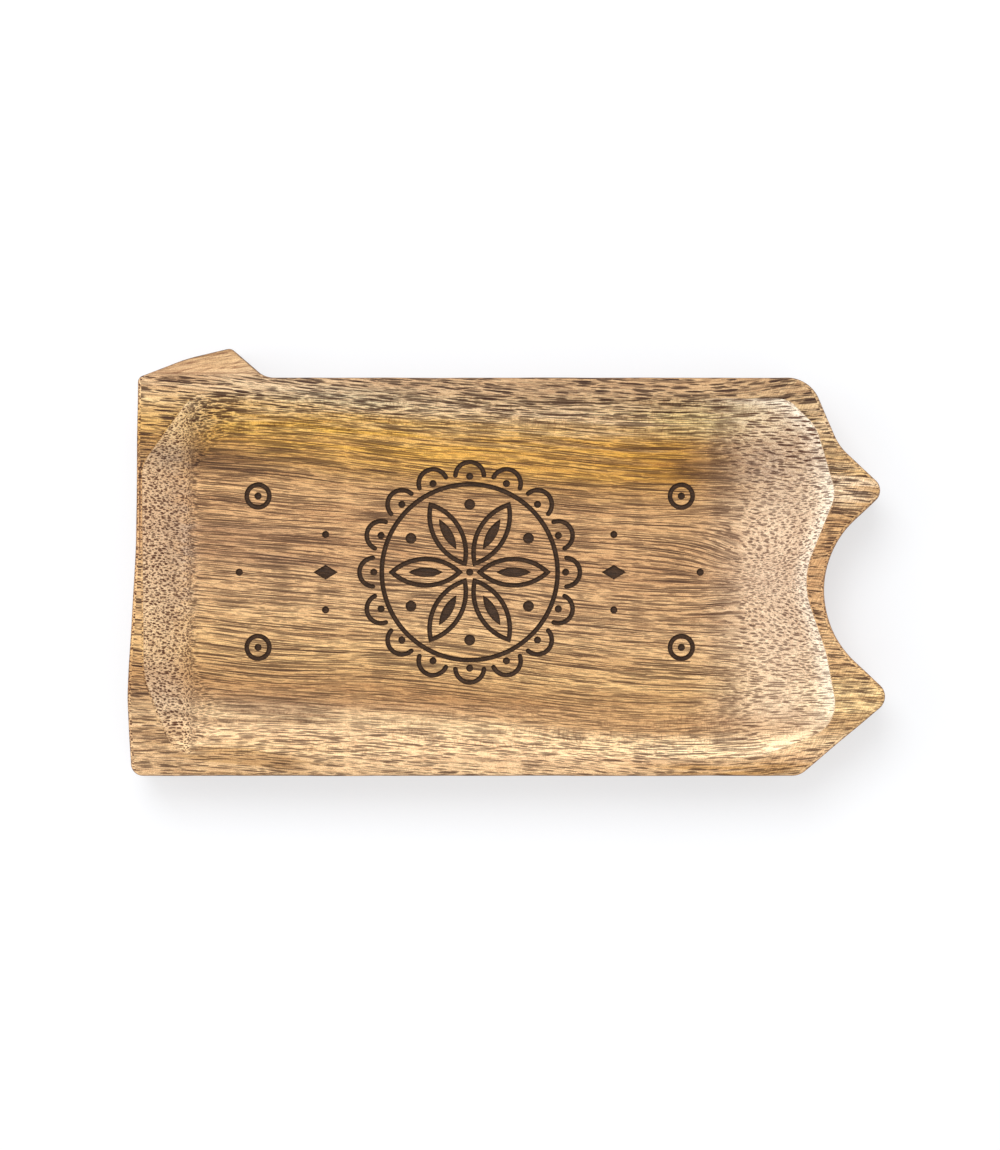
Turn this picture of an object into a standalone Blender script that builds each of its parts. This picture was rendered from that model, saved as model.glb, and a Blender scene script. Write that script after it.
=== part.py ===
"""Carved trinket dish: one block of figured hardwood with a scooped pocket and an engraved medallion.

The dish is cut from a single board, so it is one solid. Metres, +Z up. The grain runs along X, the ear
stands on the +Y side, and the origin is the middle of the underside. Unless its comment says otherwise,
a distance along X is measured from the bulge of the left end, and one along Y from the lower long edge.
"""

import math

import bmesh
import bpy
import numpy as np

# Block
LENGTH = 0.1212  # bulge to the lower point, where that point's two sides would meet
WIDTH = 0.0631  # lower long edge to upper long edge
THICKNESS = 0.0127
EASED_EDGE = 0.0007  # how far the outer edges are sanded back
EASED_STEPS = 2

# Left end, which leans out to its bulge near the lower corner
BULGE_UP = 0.0123
BULGE_RADIUS = 0.0200
LEAN_IN = 0.0014
LEAN_UP = 0.0368
LEAN_RADIUS = 0.0500
UPPER_CORNER_IN = 0.0017
UPPER_CORNER_RADIUS = 0.0012
LOWER_CORNER_IN = 0.0007
LOWER_CORNER_RADIUS = 0.0020

# Ear on the upper edge
EAR_RISE = 0.0048  # peak above the upper edge
EAR_PEAK_ALONG = 0.0164
EAR_PEAK_RADIUS = 0.0013
EAR_STEEP_RUN = 0.0055  # length of its steep side along X
EAR_FOOT_RADIUS = 0.0040
EAR_KNEE_BACK = 0.0072  # bend in its long side, back from the peak
EAR_KNEE_DROP = 0.0018  # that bend, below the peak
EAR_KNEE_RADIUS = 0.0220
EAR_FACE_SLOPE = math.radians(24)  # its top is sanded down towards the outside
EAR_FACE_MARGIN = 0.0003  # start of that slope, outside the upper edge

# Right end: two points with a round bay between them, and a shoulder above
LOWER_RUN_BACK = 0.0148  # end of the straight lower edge, back from the lower point
LOWER_RUN_RADIUS = 0.0035
LOWER_POINT_UP = 0.0125
LOWER_POINT_RADIUS = 0.0025
BAY_BACK = 0.0178  # where the bay's flanks would meet, back from the lower point
BAY_UP = 0.0293
BAY_RADIUS = 0.0152
UPPER_POINT_BACK = 0.0010
UPPER_POINT_UP = 0.0452
UPPER_POINT_RADIUS = 0.0022
NECK_BACK = 0.0085  # bend above the upper point, back from the lower point
NECK_DOWN = 0.0108  # that bend, below the upper edge
NECK_RADIUS = 0.0090
SHOULDER_BACK = 0.0132
SHOULDER_RADIUS = 0.0055

# Pocket's edge on the rim, each corner placed from the blank's corner beside it
RIM_LEFT_UPPER = 0.0024
RIM_LEFT_LOWER = 0.0027
RIM_LOWER_LEFT = 0.0035
RIM_LOWER_RIGHT = 0.0028
RIM_UPPER_LEFT = 0.0024
RIM_UPPER_RIGHT = 0.0034
HEEL_ALONG = 0.0075
HEEL_RADIUS = 0.0045
LEFT_BEND_UP = 0.0158
LEFT_BEND_RADIUS = 0.0120
CHEEK_DOWN = 0.0138  # start of the slanted upper left side, below the upper edge
CHEEK_RADIUS = 0.0060
BROW_ALONG = 0.0106  # end of that slanted side
BROW_RADIUS = 0.0050
SOLE_SHORT = 0.0069  # the pocket's lower edge ends this far short of the blank's
SOLE_RADIUS = 0.0160
LOWER_LOBE_IN = 0.0084
LOWER_LOBE_DROP = 0.0045
LOWER_LOBE_RADIUS = 0.0055
LOWER_FLANK_IN = 0.0105
LOWER_FLANK_DROP = 0.0100  # below the bay's meeting point
FLANK_RADIUS = 0.0120
BAY_RIM = 0.0033  # from the bay's meeting point towards the bay
BAY_RIM_RAISE = 0.0017
UPPER_LOBE_IN = 0.0080
UPPER_LOBE_DROP = 0.0006
UPPER_LOBE_RADIUS = 0.0050
POCKET_NECK_IN = 0.0036
POCKET_NECK_RISE = 0.0030
POCKET_NECK_RADIUS = 0.0070
POCKET_SHOULDER_IN = 0.0034
POCKET_SHOULDER_RADIUS = 0.0035

# Pocket's scooped wall and flat floor
POCKET_DEPTH = 0.0042
SCOOP_LEFT = 0.0088  # width of the wall, seen from above
SCOOP_LOWER = 0.0085
SCOOP_UPPER = 0.0073
SCOOP_RIGHT = 0.0098
FLOOR_LEFT_RADIUS = 0.0065
FLOOR_RIGHT_RADIUS = 0.0120
SCOOP_SOFTNESS = 0.35  # how gently the wall leaves the floor, as a share of the wall's width
SCOOP_STEPS = 7
SCOOP_STRAIGHT_STEP = 0.0075

# Engraved lines
LINE_WIDTH = 0.0008
LINE_DEPTH = 0.0004

# Medallion in the middle of the floor: petals in a ring, with scallops round it
RING_RADIUS = 0.0140
PETALS = 6
PETAL_START = 0.0012  # from the centre
PETAL_GAP = 0.0008  # from a petal's tip to the ring
PETAL_SAG = 0.0025  # half of a petal's width
HEART_SAG = 0.0008  # half of the width of the solid heart in each petal
HEART_INSET = 0.0030  # ends of the heart, in from the petal's tips
BEAD_IN = 0.0032  # beads between the petals, in from the ring
BEAD_RADIUS = 0.0009
DOT_RADIUS = 0.0006
SCALLOPS = 16
SCALLOP_GAP = 0.0006  # between neighbouring scallops
SCALLOP_SPREAD = math.radians(98)  # each side of the outward direction
SCALLOP_CLEAR = 0.0005  # from a scallop's ends to the ring

# Small marks beside the medallion
DIAMOND_CLEAR = 0.0030  # from the scallops
DIAMOND_LENGTH = 0.0040
DIAMOND_WIDTH = 0.0024
DOT_ASIDE = 0.0060  # dots above and below each diamond, from its middle
RINGLET_IN = 0.0090  # from the two nearest sides of the floor
RINGLET_RADIUS = 0.0018
SIDE_DOT_IN = 0.0060  # from the floor's left and right sides

# Fineness of the faceted surface
CORNER_STEP = math.radians(10)
RING_SIDES = 48
RINGLET_SIDES = 16
DOT_SIDES = 8
LENS_STEPS = 7
SCALLOP_STEPS = 9
SHARP_ANGLE = math.radians(28)
CUT_MARGIN = 0.0010  # how far a cutter reaches past the face that it opens

WOOD_COLOUR = (0.50, 0.29, 0.145, 1.0)
WOOD_ROUGHNESS = 0.55


def arc_points(centre, radius, start, turn, steps):
    """Points along an arc from the angle start, turning by turn in equal steps."""
    angles = start + turn * np.arange(steps + 1) / steps
    return np.asarray(centre) + radius * np.stack([np.cos(angles), np.sin(angles)], axis=1)


def circle_points(centre, radius, sides=DOT_SIDES):
    """Points round a whole circle, anticlockwise."""
    return arc_points(centre, radius, 0, 2 * math.pi, sides)[:-1]


def turned(points, angle, centre):
    """The points turned about the origin, then moved to the centre."""
    cosine, sine = math.cos(angle), math.sin(angle)
    return points @ np.array([[cosine, sine], [-sine, cosine]]) + centre


def rounded_outline(corners, inset=0):
    """Points anticlockwise round a polygon whose corners (x, y, radius) are replaced by arcs.

    An inset outline runs parallel inside the first, with as many points, because its arcs keep their
    centres and change their radii.
    """
    places = np.array([corner[:2] for corner in corners])
    points = []
    for place, before, after, corner in zip(places, np.roll(places, 1, 0), np.roll(places, -1, 0), corners):
        radius = corner[2]
        back = (before - place) / np.linalg.norm(before - place)
        ahead = (after - place) / np.linalg.norm(after - place)
        half = math.acos(float(back @ ahead)) / 2
        centre = place + (back + ahead) / np.linalg.norm(back + ahead) * radius / math.sin(half)
        start = place + back * radius / math.tan(half) - centre
        end = place + ahead * radius / math.tan(half) - centre
        first = math.atan2(start[1], start[0])
        turn = (math.atan2(end[1], end[0]) - first + math.pi) % (2 * math.pi) - math.pi
        steps = math.ceil(abs(turn) / CORNER_STEP)
        points.append(arc_points(centre, radius - math.copysign(inset, turn), first, turn, steps))
    return np.concatenate(points)


def with_straights_divided(outline, longest):
    """The outline with points added so that no side is longer than the given length."""
    sides = []
    for start, end in zip(outline, np.roll(outline, -1, 0)):
        count = max(1, math.ceil(np.linalg.norm(end - start) / longest))
        sides.append(start + (end - start) * (np.arange(count) / count)[:, None])
    return np.concatenate(sides)


def blank_outline(inset=0):
    """Outline of the blank, anticlockwise from the lower left corner, or one parallel inside it."""
    return rounded_outline([
        (LOWER_CORNER_IN, 0, LOWER_CORNER_RADIUS),
        (LENGTH - LOWER_RUN_BACK, 0, LOWER_RUN_RADIUS),
        (LENGTH, LOWER_POINT_UP, LOWER_POINT_RADIUS),
        (LENGTH - BAY_BACK, BAY_UP, BAY_RADIUS),
        (LENGTH - UPPER_POINT_BACK, UPPER_POINT_UP, UPPER_POINT_RADIUS),
        (LENGTH - NECK_BACK, WIDTH - NECK_DOWN, NECK_RADIUS),
        (LENGTH - SHOULDER_BACK, WIDTH, SHOULDER_RADIUS),
        (EAR_PEAK_ALONG + EAR_STEEP_RUN, WIDTH, EAR_FOOT_RADIUS),
        (EAR_PEAK_ALONG, WIDTH + EAR_RISE, EAR_PEAK_RADIUS),
        (EAR_PEAK_ALONG - EAR_KNEE_BACK, WIDTH + EAR_RISE - EAR_KNEE_DROP, EAR_KNEE_RADIUS),
        (UPPER_CORNER_IN, WIDTH, UPPER_CORNER_RADIUS),
        (LEAN_IN, LEAN_UP, LEAN_RADIUS),
        (0, BULGE_UP, BULGE_RADIUS),
    ], inset)


def pocket_outline():
    """Edge of the pocket on the rim, anticlockwise from its lower left corner."""
    return rounded_outline([
        (HEEL_ALONG, RIM_LOWER_LEFT, HEEL_RADIUS),
        (LENGTH - LOWER_RUN_BACK - SOLE_SHORT, RIM_LOWER_RIGHT, SOLE_RADIUS),
        (LENGTH - LOWER_LOBE_IN, LOWER_POINT_UP - LOWER_LOBE_DROP, LOWER_LOBE_RADIUS),
        (LENGTH - LOWER_FLANK_IN, BAY_UP - LOWER_FLANK_DROP, FLANK_RADIUS),
        (LENGTH - BAY_BACK + BAY_RIM, BAY_UP + BAY_RIM_RAISE, FLANK_RADIUS),
        (LENGTH - UPPER_POINT_BACK - UPPER_LOBE_IN, UPPER_POINT_UP - UPPER_LOBE_DROP, UPPER_LOBE_RADIUS),
        (LENGTH - NECK_BACK - POCKET_NECK_IN, WIDTH - NECK_DOWN + POCKET_NECK_RISE, POCKET_NECK_RADIUS),
        (LENGTH - SHOULDER_BACK - POCKET_SHOULDER_IN, WIDTH - RIM_UPPER_RIGHT, POCKET_SHOULDER_RADIUS),
        (BROW_ALONG, WIDTH - RIM_UPPER_LEFT, BROW_RADIUS),
        (RIM_LEFT_UPPER, WIDTH - CHEEK_DOWN, CHEEK_RADIUS),
        (RIM_LEFT_LOWER, LEFT_BEND_UP, LEFT_BEND_RADIUS),
    ])


def floor_corners():
    """Corners of the flat floor, a scoop's width inside the pocket's edge, anticlockwise from lower left."""
    left = RIM_LEFT_LOWER + SCOOP_LEFT
    right = LENGTH - BAY_BACK + BAY_RIM - SCOOP_RIGHT
    return np.array([
        (left, RIM_LOWER_LEFT + SCOOP_LOWER),
        (right, RIM_LOWER_RIGHT + SCOOP_LOWER),
        (right, WIDTH - RIM_UPPER_RIGHT - SCOOP_UPPER),
        (left, WIDTH - RIM_UPPER_LEFT - SCOOP_UPPER),
    ])


def floor_outline():
    """Outline of the flat floor."""
    radii = (FLOOR_LEFT_RADIUS, FLOOR_RIGHT_RADIUS, FLOOR_RIGHT_RADIUS, FLOOR_LEFT_RADIUS)
    return rounded_outline([(x, y, radius) for (x, y), radius in zip(floor_corners(), radii)])


def reach_towards(outline, centre, angles):
    """Distance from the centre to the outline in each direction, for an outline seen whole from there."""
    fine = with_straights_divided(outline, LINE_WIDTH / 2) - centre
    bearings = np.arctan2(fine[:, 1], fine[:, 0])
    return np.interp(angles, bearings, np.hypot(fine[:, 0], fine[:, 1]), period=2 * math.pi)


def mesh_object(name, shape, origin):
    """An object from a bmesh made in outline measures, moved so that the origin becomes the object's own."""
    bmesh.ops.translate(shape, verts=shape.verts, vec=(-origin[0], -origin[1], 0))
    mesh = bpy.data.meshes.new(name)
    shape.to_mesh(mesh)
    shape.free()
    made = bpy.data.objects.new(name, mesh)
    bpy.context.scene.collection.objects.link(made)
    return made


def add_ring(shape, outline, height):
    """Vertices of one closed loop at a height, which is one number or one for each point."""
    heights = np.broadcast_to(height, len(outline))
    return [shape.verts.new((x, y, z)) for (x, y), z in zip(outline, heights)]


def join_rings(shape, lower, upper):
    """Side faces between two loops that run anticlockwise, facing out."""
    for index in range(len(lower)):
        beside = (index + 1) % len(lower)
        shape.faces.new((lower[index], lower[beside], upper[beside], upper[index]))


def add_prism(shape, outline, low, high):
    """A closed prism on an anticlockwise outline."""
    lower = add_ring(shape, outline, low)
    upper = add_ring(shape, outline, high)
    join_rings(shape, lower, upper)
    shape.faces.new(upper)
    shape.faces.new(lower[::-1])


def add_band(shape, outer, inner, low, high):
    """A closed band between two anticlockwise outlines with as many points each."""
    loops = [add_ring(shape, outline, height) for outline, height in
             ((outer, low), (outer, high), (inner, high), (inner, low))]
    for lower, upper in zip(loops, loops[1:] + loops[:1]):
        join_rings(shape, lower, upper)


def split_at_crease(outer, inner, crease):
    """Both outlines with points added where the inner one crosses y = crease, and those points' indices."""
    pairs = np.concatenate([outer, inner], axis=1)
    points = []
    crossings = []
    for pair, following in zip(pairs, np.roll(pairs, -1, 0)):
        points.append(pair)
        if (pair[3] < crease) != (following[3] < crease):
            crossings.append(len(points))
            points.append(pair + (following - pair) * (crease - pair[3]) / (following[3] - pair[3]))
    points = np.array(points)
    return points[:, :2], points[:, 2:], crossings


def make_blank(origin):
    """The block: rings up its side with both edges eased, and a top whose ear slopes down to the outside.

    An eased edge is a quarter circle in section. Each of its rings lies a share of the way from the outer
    outline to the inner one, and the top ones follow the height of the sloped ear.
    """
    crease = WIDTH + EAR_FACE_MARGIN
    outer, inner, crossings = split_at_crease(blank_outline(), blank_outline(EASED_EDGE), crease)
    top = THICKNESS - np.maximum(0, inner[:, 1] - crease) * math.tan(EAR_FACE_SLOPE)
    turns = math.pi / 2 * np.arange(EASED_STEPS + 1) / EASED_STEPS
    loops = [inner + (outer - inner) * math.sin(turn) for turn in turns]
    drops = [EASED_EDGE * (1 - math.cos(turn)) for turn in turns]
    shape = bmesh.new()
    rings = [add_ring(shape, loop, drop) for loop, drop in zip(loops, drops)]
    rings += [add_ring(shape, loop, top - drop) for loop, drop in zip(loops[::-1], drops[::-1])]
    for lower, upper in zip(rings, rings[1:]):
        join_rings(shape, lower, upper)
    shape.faces.new(rings[0][::-1])
    first, last = crossings
    shape.faces.new(rings[-1][first:last + 1])
    shape.faces.new(rings[-1][last:] + rings[-1][:first + 1])
    return mesh_object("carved_dish", shape, origin)


def make_pocket_cutter(origin):
    """The space that is scooped out: rings from the flat floor up the wall and past the rim.

    The wall's section is a branch of a hyperbola, level at the floor and nearly straight at the rim. At a
    share of the wall's width, its height is the root of the share squared plus the softness squared, less
    the softness, as a share of that at the rim.
    """
    centre = floor_corners().mean(axis=0)
    edge = with_straights_divided(pocket_outline(), SCOOP_STRAIGHT_STEP) - centre
    bearings = np.arctan2(edge[:, 1], edge[:, 0])
    rim_reach = np.hypot(edge[:, 0], edge[:, 1])
    floor_reach = reach_towards(floor_outline(), centre, bearings)
    directions = np.stack([np.cos(bearings), np.sin(bearings)], axis=1)
    rise = math.hypot(1, SCOOP_SOFTNESS) - SCOOP_SOFTNESS
    top = SCOOP_SOFTNESS + rise * (1 + CUT_MARGIN / POCKET_DEPTH)
    past_rim = math.sqrt(top ** 2 - SCOOP_SOFTNESS ** 2)
    shape = bmesh.new()
    rings = []
    for out in past_rim * np.arange(SCOOP_STEPS + 1) / SCOOP_STEPS:
        up = (math.hypot(out, SCOOP_SOFTNESS) - SCOOP_SOFTNESS) / rise
        reach = floor_reach + (rim_reach - floor_reach) * out
        rings.append(add_ring(
            shape, centre + directions * reach[:, None], THICKNESS - POCKET_DEPTH + POCKET_DEPTH * up))
    for lower, upper in zip(rings, rings[1:]):
        join_rings(shape, lower, upper)
    shape.faces.new(rings[-1])
    shape.faces.new(rings[0][::-1])
    return mesh_object("pocket_cutter", shape, origin)


def lens_outline(start, end, sag):
    """A pointed lens along +X from start to end: two arcs that stand sag off the chord in the middle."""
    half = (end - start) / 2
    radius = (half ** 2 + sag ** 2) / (2 * sag)
    opening = math.asin(half / radius)
    middle = (start + end) / 2
    upper = arc_points((middle, sag - radius), radius, math.pi / 2 - opening, 2 * opening, LENS_STEPS)
    lower = upper[::-1] * (1, -1)
    return np.concatenate([upper[:-1], lower[:-1]])


def petal_outlines(end):
    """Outer and inner edge of a petal's line; the inner arcs have the same centres as the outer ones."""
    half = (end - PETAL_START) / 2
    radius = (half ** 2 + PETAL_SAG ** 2) / (2 * PETAL_SAG)
    inner_half = math.sqrt((radius - LINE_WIDTH) ** 2 - (radius - PETAL_SAG) ** 2)
    middle = (end + PETAL_START) / 2
    outer = lens_outline(PETAL_START, end, PETAL_SAG)
    inner = lens_outline(middle - inner_half, middle + inner_half, PETAL_SAG - LINE_WIDTH)
    return outer, inner


def scallop_sizes():
    """Distance of the scallops' centres from the medallion's, and their radius.

    The scallops share the circle with a gap between neighbours, and their ends stay clear of the ring.
    """
    share = math.sin(math.pi / SCALLOPS)
    end = math.cos(SCALLOP_SPREAD)
    inside = RING_RADIUS + LINE_WIDTH / 2 + SCALLOP_CLEAR
    distance = (inside + SCALLOP_GAP / 2 * end) / (1 + share * end)
    return distance, distance * share - (LINE_WIDTH + SCALLOP_GAP) / 2


def scallop_outline(distance, radius):
    """Outline of one scallop's line, its back turned to +X."""
    spread = SCALLOP_SPREAD
    outer = arc_points((distance, 0), radius + LINE_WIDTH / 2, -spread, 2 * spread, SCALLOP_STEPS)
    inner = arc_points((distance, 0), radius - LINE_WIDTH / 2, spread, -2 * spread, SCALLOP_STEPS)
    return np.concatenate([outer, inner])


def make_engraving_cutter(origin):
    """Everything engraved in the floor, as prisms that reach down by the lines' depth."""
    shape = bmesh.new()
    low = THICKNESS - POCKET_DEPTH - LINE_DEPTH
    high = THICKNESS - POCKET_DEPTH + CUT_MARGIN
    corners = floor_corners()
    centre = corners.mean(axis=0)
    left, lower = corners.min(axis=0)
    right, upper = corners.max(axis=0)

    def prism(outline):
        add_prism(shape, outline, low, high)

    def ring(place, radius, sides):
        outer = circle_points(place, radius + LINE_WIDTH / 2, sides)
        inner = circle_points(place, radius - LINE_WIDTH / 2, sides)
        add_band(shape, outer, inner, low, high)

    ring(centre, RING_RADIUS, RING_SIDES)
    prism(circle_points(centre, DOT_RADIUS))
    petal_end = RING_RADIUS - LINE_WIDTH / 2 - PETAL_GAP
    petal_outer, petal_inner = petal_outlines(petal_end)
    heart = lens_outline(PETAL_START + HEART_INSET, petal_end - HEART_INSET, HEART_SAG)
    bead = circle_points((RING_RADIUS - BEAD_IN, 0), BEAD_RADIUS)
    for petal in range(PETALS):
        angle = 2 * math.pi * petal / PETALS
        add_band(shape, turned(petal_outer, angle, centre), turned(petal_inner, angle, centre), low, high)
        prism(turned(heart, angle, centre))
        prism(turned(bead, angle + math.pi / PETALS, centre))
    distance, radius = scallop_sizes()
    scallop_dot = circle_points((distance, 0), DOT_RADIUS)
    for scallop in range(SCALLOPS):
        angle = 2 * math.pi * scallop / SCALLOPS
        prism(turned(scallop_outline(distance, radius), angle, centre))
        prism(turned(scallop_dot, angle, centre))

    length, width = DIAMOND_LENGTH / 2, DIAMOND_WIDTH / 2
    diamond = np.array([(length, 0), (0, width), (-length, 0), (0, -width)])
    aside = distance + radius + LINE_WIDTH / 2 + DIAMOND_CLEAR + length
    for side in (-1, 1):
        prism(diamond + centre + (side * aside, 0))
        for step in (-1, 1):
            prism(circle_points(centre + (side * aside, step * DOT_ASIDE), DOT_RADIUS))
    for x in (left + RINGLET_IN, right - RINGLET_IN):
        for y in (lower + RINGLET_IN, upper - RINGLET_IN):
            ring((x, y), RINGLET_RADIUS, RINGLET_SIDES)
            prism(circle_points((x, y), DOT_RADIUS))
    for x in (left + SIDE_DOT_IN, right - SIDE_DOT_IN):
        prism(circle_points((x, centre[1]), DOT_RADIUS))
    return mesh_object("engraving_cutter", shape, origin)


def cut_away(body, cutter):
    """Take the cutter's space out of the body for good, and remove the cutter."""
    cut = body.modifiers.new(cutter.name, "BOOLEAN")
    cut.operation = "DIFFERENCE"
    cut.solver = "EXACT"
    cut.use_self = True
    cut.object = cutter
    blank = body.data
    body.data = bpy.data.meshes.new_from_object(body.evaluated_get(bpy.context.evaluated_depsgraph_get()))
    body.modifiers.remove(cut)
    bpy.data.meshes.remove(blank)
    bpy.data.meshes.remove(cutter.data)


def wood_material():
    """Oiled mid-brown hardwood."""
    material = bpy.data.materials.new("oiled_hardwood")
    material.use_nodes = True
    shader = material.node_tree.nodes["Principled BSDF"]
    shader.inputs["Base Color"].default_value = WOOD_COLOUR
    shader.inputs["Roughness"].default_value = WOOD_ROUGHNESS
    shader.inputs["Metallic"].default_value = 0
    return material


def main():
    """Clear the scene, then make the dish and cut it."""
    for old in list(bpy.data.objects):
        bpy.data.objects.remove(old)
    outline = blank_outline()
    origin = (outline.min(axis=0) + outline.max(axis=0)) / 2
    dish = make_blank(origin)
    cut_away(dish, make_pocket_cutter(origin))
    cut_away(dish, make_engraving_cutter(origin))
    dish.data.shade_smooth()
    dish.data.set_sharp_from_angle(angle=SHARP_ANGLE)
    dish.data.materials.append(wood_material())


main()
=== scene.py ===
"""Dresses the carved trinket dish: a worn hardwood block with a scooped pocket and a burnt-in medallion.

The dish is one piece of wood, so one piece replaces the solid. Sizes are in millimetres. Shapes are worked
out with x measured from the bulge of the left end and y from the lower long edge, and are centred when they
become a mesh. The wood's bands, stains and zones are measured from the dish's middle.
"""

import math

import bpy
import numpy as np
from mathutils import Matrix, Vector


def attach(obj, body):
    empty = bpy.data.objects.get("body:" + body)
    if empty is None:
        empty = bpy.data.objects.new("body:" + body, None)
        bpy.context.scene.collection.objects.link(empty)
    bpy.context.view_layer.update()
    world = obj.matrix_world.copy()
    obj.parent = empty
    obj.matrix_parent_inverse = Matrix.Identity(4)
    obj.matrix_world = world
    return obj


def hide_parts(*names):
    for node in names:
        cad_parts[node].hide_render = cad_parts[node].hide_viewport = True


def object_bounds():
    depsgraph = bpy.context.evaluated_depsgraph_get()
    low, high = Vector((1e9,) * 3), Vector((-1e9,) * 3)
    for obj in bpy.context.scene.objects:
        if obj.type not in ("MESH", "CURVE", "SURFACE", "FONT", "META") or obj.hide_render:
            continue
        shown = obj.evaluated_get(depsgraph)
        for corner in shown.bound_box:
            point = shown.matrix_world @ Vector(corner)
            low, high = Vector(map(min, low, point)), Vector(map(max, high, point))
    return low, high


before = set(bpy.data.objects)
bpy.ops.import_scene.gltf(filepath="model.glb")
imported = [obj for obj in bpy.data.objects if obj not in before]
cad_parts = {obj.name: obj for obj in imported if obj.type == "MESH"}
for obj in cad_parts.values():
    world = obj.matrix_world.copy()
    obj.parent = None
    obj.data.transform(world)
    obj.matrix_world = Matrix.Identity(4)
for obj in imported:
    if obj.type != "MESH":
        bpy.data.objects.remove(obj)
CAD_BOX = [list(corner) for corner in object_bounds()]

bl_info = {
    "name": "Carved trinket dish",
    "version": (1, 0, 0),
    "blender": (4, 5, 0),
    "location": "View3D > Sidebar > Dish",
    "description": "Builds a carved wooden trinket dish with an engraved medallion, and a plain studio",
    "category": "Add Mesh",
}

MM = 0.001
CENTRE = np.array([59.970, 33.885])  # middle of the blank's box

# Corners (x, y, radius) of the blank's outline, anticlockwise
BLANK_CORNERS = np.array([
    (0.7, 0.0, 2.0),  # lower left corner
    (106.4, 0.0, 3.5),  # end of the straight lower edge
    (121.2, 12.5, 2.5),  # lower point
    (103.4, 29.3, 15.2),  # bay
    (120.2, 45.2, 2.2),  # upper point
    (112.7, 52.3, 9.0),  # neck
    (108.0, 63.1, 5.5),  # shoulder
    (21.9, 63.1, 4.0),  # foot of the ear
    (16.4, 67.9, 1.3),  # peak of the ear
    (9.2, 66.1, 22.0),  # knee of the ear
    (1.7, 63.1, 1.2),  # upper left corner
    (1.4, 36.8, 50.0),  # lean of the left end
    (0.0, 12.3, 20.0),  # bulge of the left end
])

# Corners (x, y, radius) of the pocket's edge on the rim, anticlockwise
POCKET_CORNERS = np.array([
    (7.5, 3.5, 4.5),  # heel
    (99.5, 2.8, 16.0),  # sole
    (112.8, 8.0, 5.5),  # lower lobe
    (110.7, 19.3, 12.0),  # flank beside the bay
    (106.7, 31.0, 12.0),  # beside the bay
    (112.2, 44.6, 5.0),  # upper lobe
    (109.1, 55.3, 7.0),  # neck
    (104.6, 59.7, 3.5),  # shoulder
    (10.6, 60.7, 5.0),  # brow
    (2.4, 49.3, 6.0),  # cheek
    (2.7, 15.8, 12.0),  # left bend
])

# Corners (x, y, radius) of the flat floor, anticlockwise
FLOOR_CORNERS = np.array([
    (11.5, 12.0, 6.5),
    (96.9, 11.3, 12.0),
    (96.9, 52.4, 12.0),
    (11.5, 53.4, 6.5),
])
FLOOR_MIDDLE = FLOOR_CORNERS[:, :2].mean(axis=0)

EAR_CREASE = 63.4  # the ear's top slopes down beyond this y
EAR_SLOPE = math.radians(24)
CREASE_SOFTNESS = 0.12
SCOOP_SOFTNESS = 0.35  # how gently the wall leaves the floor, as a share of its width
LEAST_WEAR = 0.02  # how far the outline is worn back where it is worn least
WEAR_RATE = 1.3  # how much closer together the outline's waves are than the rim's
WEAR_SHIFT = 9.0  # and how far they are moved

# Waves of the sanded surface: rate along x and y, phase and height
WAVES = ((0.21, 0.13, 0.7, 1.0), (0.11, -0.29, 2.1, 1.0), (0.37, 0.41, 4.0, 1.0), (0.83, -0.52, 1.3, 0.6))

# Fineness of the dish's surface
ARC_STEP = math.radians(3.5)
STRAIGHT_STEP = 0.62
STATION_STEP = 0.004  # between the stations of which the nearest is taken
STEADYING = 9  # points on each side over which the nearest stations are smoothed
LOWER_EDGE_RINGS = 5
UPPER_EDGE_RINGS = 6
SIDE_SHARES = (0.33, 0.66)  # rings between the side's two edges
CREASE_SHARES = (0.05, 0.9)  # least and most share of the rim's width at which a ring keeps to the crease
OUTER_RIM_SHARES = (0.34, 0.67, 0.96)  # rings from the upper edge to the ear's crease
INNER_RIM_SHARES = (0.04, 0.15, 0.35, 0.6, 0.85, 1.0)  # rings from there to the pocket
ARRIS_SHARES = (0.2, 0.4, 0.6, 0.8)
WALL_RINGS = 24
WALL_TOP = 0.945  # share of the wall's width at which the arris ends
SHARP_ANGLE = math.radians(35)

# Medallion
PETALS = 6
PETAL_START = 1.2
PETAL_GAP = 0.8
PETAL_SAG = 2.5
HEART_SAG = 0.8
HEART_INSET = 3.0
BEAD_IN = 3.2
BEAD_RADIUS = 0.9
DOT_RADIUS = 0.6
SCALLOPS = 16
SCALLOP_GAP = 0.6
SCALLOP_SPREAD = math.radians(98)
SCALLOP_TRIM = 0.2  # angle by which each end of a scallop's line stops short
SCALLOP_CLEAR = 0.5
DIAMOND_CLEAR = 3.0
DIAMOND_LENGTH = 4.0
DIAMOND_WIDTH = 2.4
DIAMOND_LEAN = 0.9  # share of its size that a diamond loses for each mm that its walls lean in
DOT_ASIDE = 6.0
RINGLET_IN = 9.0
RINGLET_RADIUS = 1.8
SIDE_DOT_IN = 6.0
LINE_LEAN = 0.26  # how far a line's walls have leaned in at its bottom
LINE_BEND = 0.7  # share of the depth at which they have leaned half as far
CUTTER_ABOVE = 1.0  # how far the cutting solids stand above the floor
DOT_SIDES = 20
RINGLET_SIDES = 48
RING_SIDES = 144
PETAL_STEPS = 28
SCALLOP_STEPS = 24
CAP_STEPS = 8

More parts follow.
